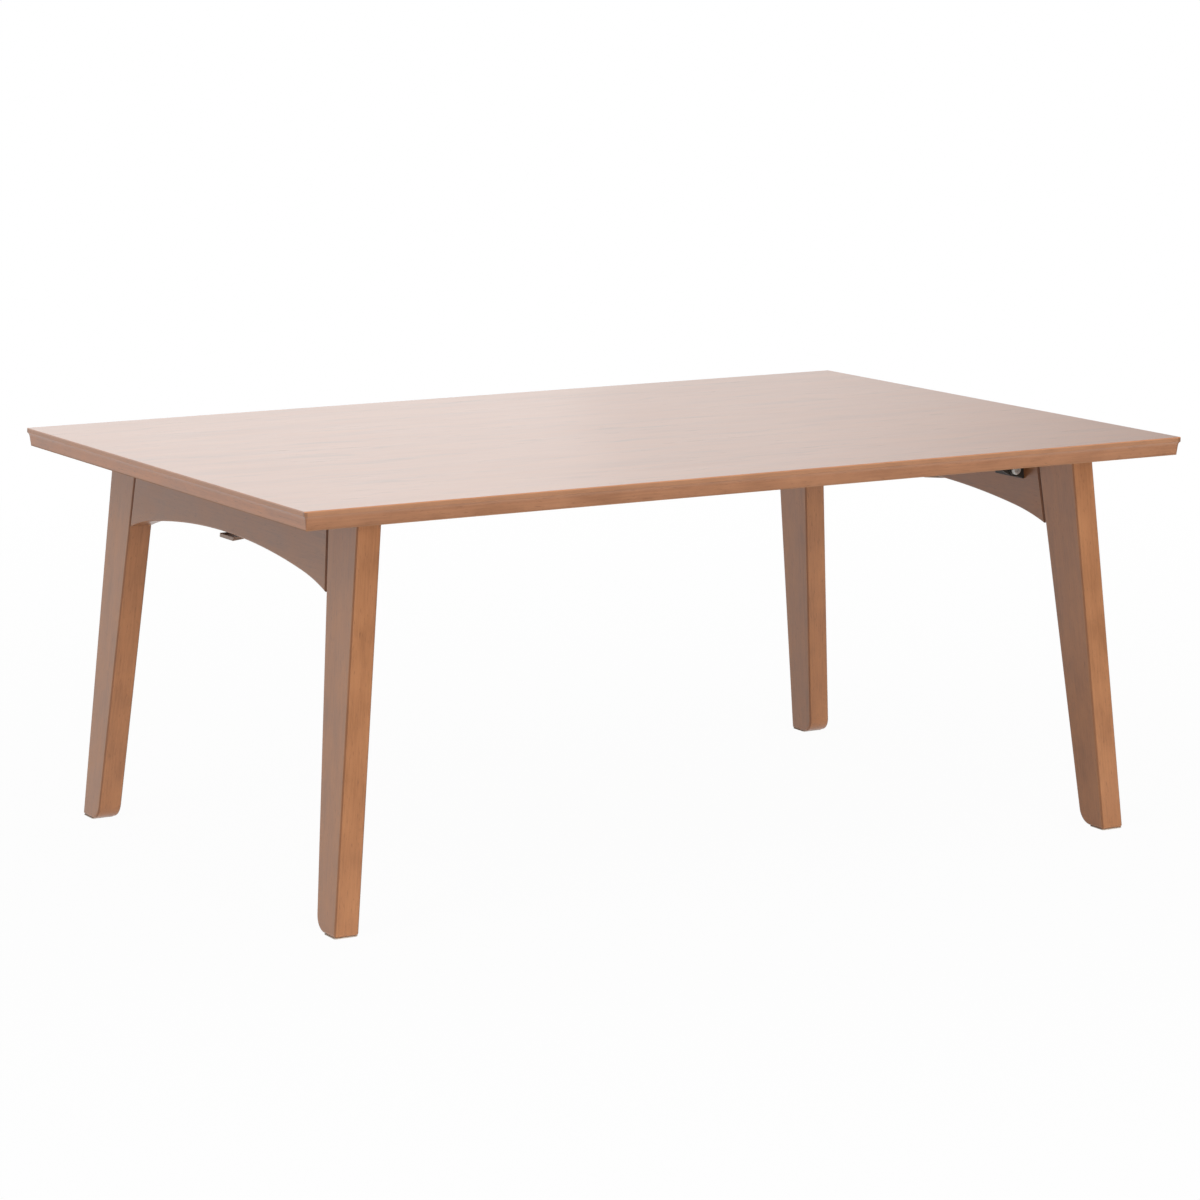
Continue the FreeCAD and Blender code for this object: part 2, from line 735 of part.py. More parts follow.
os.makedirs("parts", exist_ok=True)
for piece_name, piece in table().items():
    piece.exportStep(os.path.join("parts", piece_name + ".step"))
    print(f"{piece_name}: {len(piece.Solids)} solids, {piece.Volume:.1f} mm3, valid {piece.isValid()}")
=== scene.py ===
# %% [markdown]
# # A folding floor table
# The imported model already holds every board, bracket and bolt in its right place. This lesson adds what
# the solids lack: stained wood with a satin lacquer, coated and plated steel, felt under the feet and wound
# coil springs for the latches. Everything is in metres, on the model's axes: X along the table, Y from its
# front to its back, Z up from the floor.

# %% Load the imported table
import json
import math

import bpy
from mathutils import Matrix, Vector


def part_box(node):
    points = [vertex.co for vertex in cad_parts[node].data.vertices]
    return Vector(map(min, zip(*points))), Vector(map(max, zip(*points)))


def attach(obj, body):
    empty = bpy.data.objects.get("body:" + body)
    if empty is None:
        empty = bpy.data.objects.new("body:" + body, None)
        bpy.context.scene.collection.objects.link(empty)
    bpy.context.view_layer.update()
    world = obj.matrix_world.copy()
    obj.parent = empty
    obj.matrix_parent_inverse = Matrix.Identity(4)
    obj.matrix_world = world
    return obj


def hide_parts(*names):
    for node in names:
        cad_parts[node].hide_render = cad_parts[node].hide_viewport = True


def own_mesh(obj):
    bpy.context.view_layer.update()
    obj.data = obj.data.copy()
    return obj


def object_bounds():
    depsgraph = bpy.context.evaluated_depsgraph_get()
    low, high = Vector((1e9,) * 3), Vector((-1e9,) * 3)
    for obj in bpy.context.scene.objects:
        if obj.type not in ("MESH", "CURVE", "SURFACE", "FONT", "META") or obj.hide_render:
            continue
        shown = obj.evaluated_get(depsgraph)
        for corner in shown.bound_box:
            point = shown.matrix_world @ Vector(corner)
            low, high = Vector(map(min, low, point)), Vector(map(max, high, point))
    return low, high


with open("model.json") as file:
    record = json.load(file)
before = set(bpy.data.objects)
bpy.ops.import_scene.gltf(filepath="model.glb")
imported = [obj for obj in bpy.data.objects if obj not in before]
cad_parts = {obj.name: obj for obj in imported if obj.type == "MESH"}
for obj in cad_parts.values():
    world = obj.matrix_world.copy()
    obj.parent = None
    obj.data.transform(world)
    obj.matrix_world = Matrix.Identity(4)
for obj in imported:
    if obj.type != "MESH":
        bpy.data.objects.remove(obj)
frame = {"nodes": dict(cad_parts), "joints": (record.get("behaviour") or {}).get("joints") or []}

cad_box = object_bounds()
bpy.ops.object.select_all(action="DESELECT")
nodes = frame["nodes"]

# %% [markdown]
# ## The camera
# The photograph was taken from the front left corner, a little above the top, with a long lens. Its
# place and focal length come from lines drawn along the table's edges in the picture: where parallel
# edges meet tells how long the lens is, and the corners tell where the camera stood. The small roll is
# kept too, so that the render can be laid over the photograph.

# %% Stand the camera where the photographer stood
picture_side = 1200
focal_length_in_pixels = 4130.24
camera_place = (-1.90498, -3.32560, 0.89185)
camera_azimuth = math.radians(-29.823)
camera_elevation = math.radians(10.035)
camera_roll = math.radians(-0.067)

camera_turn = (Matrix.Rotation(camera_azimuth, 4, "Z")
               @ Matrix.Rotation(math.pi / 2 - camera_elevation, 4, "X")
               @ Matrix.Rotation(camera_roll, 4, "Z"))
bpy.ops.object.camera_add(location=camera_place, rotation=camera_turn.to_euler())
camera = bpy.context.object
camera.name = "photo_camera"
camera.data.sensor_width = 36
camera.data.lens = camera.data.sensor_width * focal_length_in_pixels / picture_side
bpy.context.scene.camera = camera
bpy.context.scene.view_settings.view_transform = "Standard"
print("camera lens %.1f mm" % camera.data.lens)

# %% [markdown]
# ## A helper for nodes
# A finish is a small graph of nodes. Typing each link by hand hides what the graph does, so one helper
# adds a node, sets its options and fills its sockets, each with a plain value or with the output of an
# earlier node.

# %% Add a node and wire it up
def add_node(tree, kind, options=None, sockets=None):
    """A new node with its options set and its sockets filled with values or linked to outputs."""
    made = tree.nodes.new(kind)
    for option, value in (options or {}).items():
        setattr(made, option, value)
    for socket, value in (sockets or {}).items():
        if isinstance(value, bpy.types.NodeSocket):
            tree.links.new(value, made.inputs[socket])
        else:
            made.inputs[socket].default_value = value
    return made


print("nodes are drawn by Blender", bpy.app.version_string)

# %% [markdown]
# ## Sums with nodes
# Every finish is made of the same few sums: numbers are weighed and added, a number is moved to another
# range, a vector is measured, two colours are mixed. Each sum is a function, so that a finish reads like
# a recipe.

# %% Name the sums
def number(tree, operation, a, b=0.0):
    """The result of a sum with one or two numbers."""
    return add_node(tree, "ShaderNodeMath", {"operation": operation}, {0: a, 1: b}).outputs[0]


def weighed(tree, *shares):
    """The sum of several numbers, each times its weight."""
    total = number(tree, "MULTIPLY", *shares[0])
    for value, weight in shares[1:]:
        total = number(tree, "ADD", total, number(tree, "MULTIPLY", value, weight))
    return total


def stretch(tree, value, low, high, out_low=0.0, out_high=1.0):
    """A number moved from one range to another, and held at the ends."""
    return add_node(tree, "ShaderNodeMapRange", {"clamp": True},
                    {"Value": value, "From Min": low, "From Max": high,
                     "To Min": out_low, "To Max": out_high}).outputs["Result"]


def measure(tree, operation, *vectors):
    """One number from one or two vectors: a length, a distance or a dot product."""
    return add_node(tree, "ShaderNodeVectorMath", {"operation": operation},
                    dict(enumerate(vectors))).outputs["Value"]


def axes_of(tree, vector):
    """The three parts of a vector, named X, Y and Z."""
    return add_node(tree, "ShaderNodeSeparateXYZ", {}, {"Vector": vector}).outputs


def own_place(tree):
    """Where a point lies, in the coordinates of its own object."""
    return add_node(tree, "ShaderNodeTexCoord").outputs["Object"]


def blend_colours(tree, share, first, second):
    """Two colours mixed by a share."""
    return add_node(tree, "ShaderNodeMix", {"data_type": "RGBA"}, {0: share, 6: first, 7: second}).outputs[2]


sums = (number, weighed, stretch, measure, axes_of, own_place, blend_colours)
print("sums:", ", ".join(each.__name__ for each in sums))

# %% [markdown]
# ## The white surroundings
# The photograph shows the table on plain white, and the lacquer mirrors the room it stood in. A picture
# of a room could be wrapped round the scene; a few nodes do the same and stay easy to adjust. Rays that
# look at the surroundings see white. In a gloss they are dimmer to the right and in front, as the sheen
# on the real table fades that way. Light that bounces gets a weaker, even sky, so that the white doesn't
# pour extra light on the wood.

# %% Surround the table with white
white = (1.0, 1.0, 1.0, 1.0)
sky_strength = 0.44
dim_side = (0.8676, -0.4973, 0.0)
side_fade = (0.05, 0.15)
side_dimming = 0.54
front_fade = (-0.2, -0.6)
front_dimming = 0.70


def seen_directly(tree):
    """1 for rays that look at a thing, also in a gloss or through glass, 0 for light that bounces."""
    path = add_node(tree, "ShaderNodeLightPath").outputs
    either = number(tree, "MAXIMUM", path["Is Camera Ray"], path["Is Glossy Ray"])
    return number(tree, "MAXIMUM", either, path["Is Transmission Ray"])


def dimmed_in_gloss(tree, first_shade, second_shade):
    """A strength of 1 that, for mirrored rays only, the deeper of two shades makes weaker."""
    glossy = add_node(tree, "ShaderNodeLightPath").outputs["Is Glossy Ray"]
    shade = number(tree, "MULTIPLY", glossy, number(tree, "MAXIMUM", first_shade, second_shade))
    return number(tree, "SUBTRACT", 1.0, shade)


studio = bpy.data.worlds.new("white_studio")
studio.use_nodes = True
bpy.context.scene.world = studio
tree = studio.node_tree
tree.nodes.clear()
towards = add_node(tree, "ShaderNodeTexCoord").outputs["Generated"]
side_shade = stretch(tree, measure(tree, "DOT_PRODUCT", towards, dim_side), *side_fade, 0.0, side_dimming)
front_shade = stretch(tree, axes_of(tree, towards)["Y"], *front_fade, 0.0, front_dimming)
backdrop = add_node(tree, "ShaderNodeBackground", {},
                    {"Color": white, "Strength": dimmed_in_gloss(tree, side_shade, front_shade)})
sky = add_node(tree, "ShaderNodeBackground", {}, {"Color": white, "Strength": sky_strength})
around = add_node(tree, "ShaderNodeMixShader", {},
                  {0: seen_directly(tree), 1: sky.outputs[0], 2: backdrop.outputs[0]})
add_node(tree, "ShaderNodeOutputWorld", {}, {"Surface": around.outputs[0]})
print("sky strength", sky_strength)

# %% [markdown]
# ## Soft lamps
# Four square lamps give the light its direction. A large one stands in front, with a smaller one low
# down, so that light reaches in under the top to the back legs. One stands high on the left. Mirrored in
# the lacquer they would be white patches, so glossy rays don't see these three. The weak lamp behind the
# table is there to be mirrored: it gives the top a pale sheen.

# %% Light the table
table_middle = (0.0, 0.0, 0.2)


def soft_lamp(name, place, size, power, mirrored):
    """A square soft lamp that faces the table, and that glossy things mirror or don't."""
    away = Vector(place) - Vector(table_middle)
    bpy.ops.object.light_add(type="AREA", location=place, rotation=away.to_track_quat("Z", "Y").to_euler())
    lamp = bpy.context.object
    lamp.name = name
    lamp.data.size = size
    lamp.data.energy = power
    lamp.visible_camera = False
    lamp.visible_glossy = mirrored
    print(name, power, "W")


soft_lamp("front_lamp", (0.3, -7.5, 1.4), size=3.0, power=214.0, mirrored=False)
soft_lamp("low_lamp", (0.1, -5.5, 0.4), size=1.2, power=52.0, mirrored=False)
soft_lamp("left_lamp", (-4.3, -1.6, 4.7), size=2.6, power=62.0, mirrored=False)
soft_lamp("back_lamp", (0.62, 3.2, 0.95), size=2.2, power=3.0, mirrored=True)

# %% [markdown]
# ## The floor
# The photograph has no floor, only white. A plane that glows white to the rays that look at it gives
# that, and a trace of plain paper near the table lets a faint shadow show where the feet stand. Light
# that bounces meets the paper alone. In a gloss the floor is dimmer in front and in a patch under the
# table, which keeps the inner faces of the legs from looking chalky.

# %% Lay the floor
floor_size = 30
paper_white = (0.86, 0.86, 0.86, 1.0)
dim_patch = (0.15, -0.15, 0.0)
patch_fade = (0.25, 0.50)
patch_dimming = 0.40
floor_front_fade = (-0.45, -0.95)
floor_front_dimming = 0.75
shadow_fade = (0.6, 2.2)
white_near_table = 0.965

bpy.ops.mesh.primitive_plane_add(size=floor_size)
floor = bpy.context.object
floor.name = "studio_floor"
floor_white = bpy.data.materials.new("floor_white")
floor_white.use_nodes = True
tree = floor_white.node_tree
tree.nodes.clear()
spot = own_place(tree)
patch_shade = stretch(tree, measure(tree, "DISTANCE", spot, dim_patch), *patch_fade, patch_dimming, 0.0)
front_shade = stretch(tree, axes_of(tree, spot)["Y"], *floor_front_fade, 0.0, floor_front_dimming)
paper = add_node(tree, "ShaderNodeBsdfDiffuse", {}, {"Color": paper_white})
glow = add_node(tree, "ShaderNodeEmission", {},
                {"Color": white, "Strength": dimmed_in_gloss(tree, patch_shade, front_shade)})
whiteness = stretch(tree, measure(tree, "LENGTH", spot), *shadow_fade, white_near_table, 1.0)
share = number(tree, "MULTIPLY", seen_directly(tree), whiteness)
mixed = add_node(tree, "ShaderNodeMixShader", {}, {0: share, 1: paper.outputs[0], 2: glow.outputs[0]})
add_node(tree, "ShaderNodeOutputMaterial", {}, {"Surface": mixed.outputs[0]})
floor.data.materials.append(floor_white)
print("floor laid, %d m on each side" % floor_size)

# %% [markdown]
# ## Finishes that follow the grain
# Wood has a direction: streaks, fibres and flecks all run along it. An image of wood would repeat; noise
# that is stretched along the grain never does, and it runs through the piece, so that faces agree at
# their edges. Each piece is cut from its own board, so each one gets its own grain direction and its own
# place in the noise.

# %% Start a finish and lay noise along the grain
along_table = (1, 0, 0)
across_table = (0, 1, 0)


def new_finish(name):
    """A material, its node tree and its shader, on which nothing is set yet."""
    material = bpy.data.materials.new(name)
    material.use_nodes = True
    tree = material.node_tree
    tree.nodes.clear()
    shader = add_node(tree, "ShaderNodeBsdfPrincipled")
    add_node(tree, "ShaderNodeOutputMaterial", {}, {"Surface": shader.outputs[0]})
    return material, tree, shader


def along_grain(tree, direction, place):
    """A point's own place, turned so that X runs along the grain, and moved to a place in the noise."""
    turn = Vector(direction).rotation_difference(Vector((1, 0, 0))).to_euler()
    return add_node(tree, "ShaderNodeMapping", {}, {"Vector": own_place(tree), "Rotation": turn,
                                                    "Location": place}).outputs[0]


def noise(tree, where, along, across, detail=2.0, roughness=0.5, distortion=0.0):
    """Noise with so many features per metre along the grain and across it."""
    scaled = add_node(tree, "ShaderNodeVectorMath", {"operation": "MULTIPLY"},
                      {0: where, 1: (along, across, across)}).outputs[0]
    return add_node(tree, "ShaderNodeTexNoise", {}, {"Vector": scaled, "Scale": 1.0, "Detail": detail,
                                                     "Roughness": roughness,
                                                     "Distortion": distortion}).outputs["Fac"]


print(len(bpy.data.materials), "materials before the first finish")

# %% [markdown]
# ## From noise to a surface
# A finish ends the same way each time: tones become a colour, darker or paler layers are laid over it,
# the surface gets its roughness and a fine relief, and lacquer may go on top. Fibres and flecks are far
# thinner than a face of the model, so a bump carries them and the shape stays as it is.

# %% Colour, layers, relief and lacquer
def three_tones(tree, tone, dark, middle, light):
    """A colour that runs from dark over a middle tone to light as a number goes from 0 to 1."""
    ramp = add_node(tree, "ShaderNodeValToRGB", {}, {"Fac": tone})
    ramp.color_ramp.elements[0].color = dark
    ramp.color_ramp.elements[1].color = light
    ramp.color_ramp.elements.new(0.5).color = middle
    return ramp.outputs[0]


def lay_over(tree, colour, layer, where, strength):
    """A colour with another one laid over it where a number is 1, as strongly as is asked."""
    return blend_colours(tree, number(tree, "MULTIPLY", where, strength), colour, layer)


def set_surface(tree, shader, colour, roughness, height, strength, depth):
    """Give a shader its colour, its roughness and a relief that follows a height."""
    relief = add_node(tree, "ShaderNodeBump", {},
                      {"Strength": strength, "Distance": depth, "Height": height})
    tree.links.new(colour, shader.inputs["Base Color"])
    tree.links.new(roughness, shader.inputs["Roughness"])
    tree.links.new(relief.outputs[0], shader.inputs["Normal"])


def lacquer(shader, weight, roughness):
    """Put a clear coat on a shader."""
    shader.inputs["IOR"].default_value = 1.5
    shader.inputs["Coat Weight"].default_value = weight
    shader.inputs["Coat Roughness"].default_value = roughness


def wear(node, material):
    """Give a solid node its finish."""
    for slot in nodes[node].material_slots:
        slot.material = material


print("surfaces:", ", ".join(each.__name__ for each in (three_tones, lay_over, set_surface, lacquer)))

# %% [markdown]
# ## Dark lines, painted shade and painted highlights
# The dark on the arrises of the legs and aprons and in the grooves between them is partly stain gathered
# there and partly painted shade. The dark at the corners of the top and along the lower rim of its edge
# strips is painted shade. The paler band beside an arris and along the upper half of a strip is a painted
# highlight. Such places could be painted on an image; here the shape itself tells where they are. A normal
# that points between two sides is on an arris, the Bevel node's rounded normal leaves the true one in the
# band beside it, and on a strip the position is enough.

# %% Find the arrises, the rims and the places of painted highlight
half_length = cad_box[1][0]
half_width = cad_box[1][1]
top_height = cad_box[1][2]
strip_height = 0.0168
# The corner and rim lines are painted shade on the edge strips.
corner_line = (-0.0035, -0.0022)
rim_line = (strip_height - 0.0024, strip_height - 0.0008)
rim_shade = 0.40
# Where the painted highlight lies: down from the top of a strip, and beside an arris.
highlight_depth = (0.0015, strip_height / 2)
highlight_reach = 0.0035


def turned_arris(tree):
    """1 on a rounded arris or a chamfer between two upright sides of a piece, 0 on the sides."""
    facing = axes_of(tree, add_node(tree, "ShaderNodeTexCoord").outputs["Normal"])
    both = number(tree, "MINIMUM", number(tree, "ABSOLUTE", facing["X"]),
                  number(tree, "ABSOLUTE", facing["Y"]))
    return stretch(tree, both, 0.22, 0.50)


def near_arris(tree):
    """1 on the faces of a leg or apron right beside an arris, 0 further away."""
    rounded = add_node(tree, "ShaderNodeBevel", {"samples": 8}, {"Radius": highlight_reach}).outputs[0]
    true_normal = add_node(tree, "ShaderNodeNewGeometry").outputs["Normal"]
    agreement = measure(tree, "DOT_PRODUCT", rounded, true_normal)
    return stretch(tree, agreement, 0.90, 0.99, 1.0, 0.0)


def strip_lines(tree):
    """1 at the upright corners of the top, where two mitred strips meet, and less along their lower rim."""
    spot = axes_of(tree, own_place(tree))
    past_end = number(tree, "SUBTRACT", number(tree, "ABSOLUTE", spot["X"]), half_length)
    past_side = number(tree, "SUBTRACT", number(tree, "ABSOLUTE", spot["Y"]), half_width)
    corner = stretch(tree, number(tree, "MINIMUM", past_end, past_side), *corner_line)
    below_top = number(tree, "SUBTRACT", top_height, spot["Z"])
    lower_rim = stretch(tree, below_top, *rim_line, 0.0, rim_shade)
    return number(tree, "MAXIMUM", corner, lower_rim)


def upper_half(tree):
    """1 along the top of a strip, fading to 0 halfway down."""
    below_top = number(tree, "SUBTRACT", top_height, axes_of(tree, own_place(tree))["Z"])
    return stretch(tree, below_top, *highlight_depth, 1.0, 0.0)


print("top of %.3f by %.3f m, %.3f m above the floor" % (2 * half_length, 2 * half_width, top_height))

# %% [markdown]
# ## Stained wood
# The frames and the edge strips are a close-grained hardwood, stained a warm brown and sprayed with a satin
# lacquer. Up close such wood has long soft streaks from its growth rings, fine fibres, short dark flecks,
# and clouds where the stain took unevenly. One recipe serves every piece: streaks, fibres and clouds choose
# a tone, then flecks, painted highlights and dark lines of stain and painted shade are laid over it. A piece
# may be tinted: the aprons darker, as painted shade, the end strips paler and greyer, as painted light, and
# the long strips a little cooler.

# %% The finish of one stained piece
stain_dark = (0.305, 0.124, 0.048, 1.0)
stain_body = (0.420, 0.177, 0.072, 1.0)
stain_light = (0.500, 0.218, 0.090, 1.0)
stain_fleck = (0.190, 0.074, 0.030, 1.0)
# Dark of stain gathered on arrises, and painted shade in grooves, at corners and along rims.
stain_and_shade_edge = (0.125, 0.045, 0.017, 1.0)
# A paler colour laid beside arrises and along the top of strips: a painted highlight.
painted_highlight = (0.520, 0.275, 0.150, 1.0)


def tinted(colour, tint):
    """A colour with its red, green and blue each made weaker or stronger."""
    return tuple(channel * factor for channel, factor in zip(colour, tint)) + (1.0,)


def wood_finish(name, direction, place, tint, streak_width, dark_lines, darkness, highlight_part, highlight_strength):
    """Stained, lacquered solid wood with its grain along a direction."""
    material, tree, shader = new_finish(name)
    where = along_grain(tree, direction, place)
    streaks = noise(tree, where, along=1.8, across=1.0 / streak_width, detail=4.0, roughness=0.55,
                    distortion=0.6)
    fibres = noise(tree, where, along=26.0, across=640.0, detail=3.0, roughness=0.6)
    clouds = noise(tree, where, along=24.0, across=42.0, detail=3.0, roughness=0.55)
    flecks = stretch(tree, noise(tree, where, along=150.0, across=1100.0, detail=1.0), 0.64, 0.74)
    tone = weighed(tree, (streaks, 0.25), (fibres, 0.32), (clouds, 0.43))
    colour = three_tones(tree, stretch(tree, tone, 0.32, 0.68), tinted(stain_dark, tint),
                         tinted(stain_body, tint), tinted(stain_light, tint))
    colour = lay_over(tree, colour, stain_fleck, flecks, 0.45)
    # A painted highlight, then dark lines that are partly stain and partly painted shade.
    colour = lay_over(tree, colour, painted_highlight, highlight_part(tree), highlight_strength)
    colour = lay_over(tree, colour, stain_and_shade_edge, dark_lines(tree), darkness)
    dullness = number(tree, "ADD", clouds, number(tree, "MULTIPLY", fibres, 0.5))
    roughness = stretch(tree, dullness, 0.4, 1.1, 0.30, 0.44)
    height = weighed(tree, (fibres, 0.6), (flecks, -0.6))
    set_surface(tree, shader, colour, roughness, height, strength=0.12, depth=0.0004)
    lacquer(shader, weight=0.30, roughness=0.28)
    return material


print("stain of the body of the wood", stain_body[:3])

# %% [markdown]
# ## Legs and aprons
# The grain of a leg runs down its length, so it follows the splay of that leg. The apron's grain runs across
# the table from leg to leg. The four legs are four pieces of wood, so none repeats another. The aprons are
# tinted darker, a painted shade for the shade under the top.

# %% Finish the leg frames
leg_drop = 0.3562
leg_spread_along = 0.0337
leg_spread_across = 0.0245
frame_streak_width = 0.020
leg_tint = (1.0, 1.0, 1.0)
# The aprons are tinted darker: painted shade under the top.
left_apron_shade = (0.84, 0.82, 0.80)
right_apron_shade = (0.80, 0.77, 0.73)

for side, side_sign, apron_shade in (("left", -1, left_apron_shade), ("right", 1, right_apron_shade)):
    for end, end_sign in (("front", -1), ("back", 1)):
        direction = (side_sign * leg_spread_along, end_sign * leg_spread_across, -leg_drop)
        place = (1.7 * side_sign + 0.9 * end_sign, 0.41 * end_sign, 0.23 * side_sign)
        leg_wood = wood_finish(f"{side}_{end}_leg_wood", direction, place, leg_tint, frame_streak_width,
                               turned_arris, darkness=0.50, highlight_part=near_arris, highlight_strength=0.30)
        wear(f"{side}_{end}_leg", leg_wood)
    apron_wood = wood_finish(f"{side}_apron_wood", across_table, (3.1 * side_sign, 0.7, 0.2), apron_shade,
                             frame_streak_width, turned_arris, darkness=0.48, highlight_part=near_arris,
                             highlight_strength=0.10)
    wear(f"{side}_apron", apron_wood)
print("four legs and two aprons stained")

# %% [markdown]
# ## Edge strips
# The strips round the top are milled from the same wood, with the grain along each strip and narrower
# streaks. Their upper half is painted paler, a painted highlight, and their corners and lower rim are
# darkened with painted shade. The end strips are tinted paler and greyer, painted light and a painted
# reflection of the white on the ends.

# %% Finish the edge strips
strip_streak_width = 0.005
long_tint = (0.93, 1.00, 1.22)
# The end strips are tinted paler and greyer: painted light and a painted reflection of the white.
end_light_tint = (1.19, 1.14, 1.25)

for strip, direction, shift, tint in (("front", along_table, 5.3, long_tint),
                                      ("back", along_table, 6.1, long_tint),
                                      ("left", across_table, 7.7, end_light_tint),
                                      ("right", across_table, 8.9, end_light_tint)):
    strip_wood = wood_finish(f"{strip}_strip_wood", direction, (shift, 0.3, 0.1), tint, strip_streak_width,
                             strip_lines, darkness=0.45, highlight_part=upper_half, highlight_strength=0.34)
    wear(f"{strip}_lipping", strip_wood)
print("four edge strips stained")

# %% [markdown]
# ## The veneered top
# The top is a thin sheet of sliced wood. Slicing shows the growth rings as long pale and dark bands
# that wander a little, with a few short darker marks. The lacquer is the same satin one, and seen from
# low down it mirrors the white studio so strongly that the wood turns pale: that comes from the
# shader by itself, because any lacquer mirrors more at a flat angle. The sheet underneath is plainer and
# has no lacquer.

# %% Finish the top and the underside
def veneer_finish(name, place, lightest, middle, darkest, smoothest, roughest, coat):
    """Sliced veneer with its grain along the table."""
    material, tree, shader = new_finish(name)
    where = along_grain(tree, along_table, place)
    bands = noise(tree, where, along=0.9, across=12.0, detail=3.0, roughness=0.55, distortion=0.9)
    blotches = noise(tree, where, along=11.0, across=55.0, detail=3.0, roughness=0.6, distortion=0.4)
    streaks = noise(tree, where, along=7.0, across=150.0, detail=3.0, roughness=0.6, distortion=0.3)
    fibres = noise(tree, where, along=30.0, across=1000.0, detail=2.0, roughness=0.6)
    spots = noise(tree, where, along=11.0, across=40.0, detail=2.0, roughness=0.5, distortion=0.5)
    marks = stretch(tree, spots, 0.62, 0.80)
    tone = weighed(tree, (bands, 0.20), (blotches, 0.38), (streaks, 0.26), (fibres, 0.16))
    colour = three_tones(tree, stretch(tree, tone, 0.33, 0.67), darkest, middle, lightest)
    colour = lay_over(tree, colour, stain_fleck, marks, 0.45)
    roughness = stretch(tree, number(tree, "ADD", streaks, fibres), 0.7, 1.3, smoothest, roughest)
    set_surface(tree, shader, colour, roughness, fibres, strength=0.10, depth=0.0003)
    lacquer(shader, weight=coat, roughness=0.30)
    return material


wear("top_veneer", veneer_finish("top_veneer_wood", place=(0.4, 0.2, 0.0),
                                 lightest=(0.702, 0.325, 0.165, 1.0), middle=(0.632, 0.277, 0.134, 1.0),
                                 darkest=(0.498, 0.209, 0.097, 1.0), smoothest=0.27, roughest=0.36,
                                 coat=0.94))
wear("underside_veneer", veneer_finish("underside_veneer_wood", place=(9.4, 3.2, 0.5),
                                       lightest=(0.420, 0.225, 0.125, 1.0),
                                       middle=(0.360, 0.180, 0.095, 1.0),
                                       darkest=(0.285, 0.135, 0.068, 1.0), smoothest=0.55, roughest=0.70,
                                       coat=0.0))
print("top and underside veneered")

# %% [markdown]
# ## Hidden wood
# The core is a board of pressed fibre, and the dowels are plain unstained rods. Both are buried, but a
# joint that is taken apart shows them, so they get a finish too.

# %% Finish the core and the dowels
def raw_finish(name, direction, along, across, dark, light, smoothest):
    """Unfinished wood or fibre with specks of the given fineness."""
    material, tree, shader = new_finish(name)
    where = along_grain(tree, direction, (2.0, 5.0, 1.0))
    specks = noise(tree, where, along, across, detail=4.0, roughness=0.65)
    colour = blend_colours(tree, stretch(tree, specks, 0.3, 0.7), dark, light)
    roughness = stretch(tree, specks, 0.2, 0.8, smoothest, smoothest + 0.12)
    set_surface(tree, shader, colour, roughness, specks, strength=0.2, depth=0.0003)
    return material


wear("core_panel", raw_finish("core_fibre_board", along_table, along=420.0, across=420.0,
                              dark=(0.36, 0.23, 0.13, 1.0), light=(0.50, 0.35, 0.22, 1.0), smoothest=0.78))
dowel_wood = raw_finish("dowel_wood", across_table, along=60.0, across=900.0,
                        dark=(0.50, 0.34, 0.19, 1.0), light=(0.66, 0.49, 0.31, 1.0), smoothest=0.62)
for side in ("left", "right"):
    wear(f"{side}_dowels", dowel_wood)
print("core board and dowels finished")

# %% [markdown]
# ## Steel
# The hinge brackets are pressed steel with a black coating, which dries to a fine orange peel. The bolts,
# nuts, washers and screws are zinc plated: dull, a little cloudy and faintly warm. The latch, its housing
# and its keeper are lacquered brown to match the wood. All three are one recipe with other numbers: specks
# and clouds vary the colour and the gloss, and the specks give the relief.

# %% Finish the steel pieces
def steel_finish(name, base, spread, metal, smoothest, roughest, specks_per_metre, bump):
    """Coated or plated steel whose colour and gloss vary a little."""
    material, tree, shader = new_finish(name)
    where = along_grain(tree, across_table, (1.3, 2.7, 0.6))
    specks = noise(tree, where, specks_per_metre, specks_per_metre, detail=3.0, roughness=0.6)
    clouds = noise(tree, where, along=120.0, across=120.0, detail=3.0, roughness=0.55)
    mixed = weighed(tree, (specks, 0.5), (clouds, 0.5))
    dark = tuple(channel * (1 - spread) for channel in base) + (1.0,)
    light = tuple(min(1.0, channel * (1 + spread)) for channel in base) + (1.0,)
    colour = blend_colours(tree, stretch(tree, mixed, 0.3, 0.7), dark, light)
    roughness = stretch(tree, mixed, 0.3, 0.7, smoothest, roughest)
    set_surface(tree, shader, colour, roughness, specks, strength=bump, depth=0.0002)
    shader.inputs["Metallic"].default_value = metal
    return material


black_coating = steel_finish("black_coating", base=(0.030, 0.025, 0.020), spread=0.35, metal=0.0,
                             smoothest=0.46, roughest=0.60, specks_per_metre=900.0, bump=0.25)
zinc_plate = steel_finish("zinc_plate", base=(0.64, 0.63, 0.60), spread=0.12, metal=0.65,
                          smoothest=0.42, roughest=0.58, specks_per_metre=500.0, bump=0.08)
latch_lacquer = steel_finish("latch_lacquer", base=(0.400, 0.265, 0.195), spread=0.20, metal=0.0,
                             smoothest=0.30, roughest=0.44, specks_per_metre=300.0, bump=0.10)
for side in ("left", "right"):
    for end in ("front", "back"):
        wear(f"{side}_{end}_top_bracket", black_coating)
        wear(f"{side}_{end}_apron_bracket", black_coating)
        wear(f"{side}_{end}_pivot_bolt", zinc_plate)
    for fixing in ("top_bracket_screws", "keeper_screws", "apron_bracket_screws", "latch_housing_screws",
                   "pivot_nuts", "pivot_washers"):
        wear(f"{side}_{fixing}", zinc_plate)
    for plate in ("latch_keeper", "latch_housing", "latch_slide"):
        wear(f"{side}_{plate}", latch_lacquer)
print("brackets coated, fixings plated, latches lacquered")

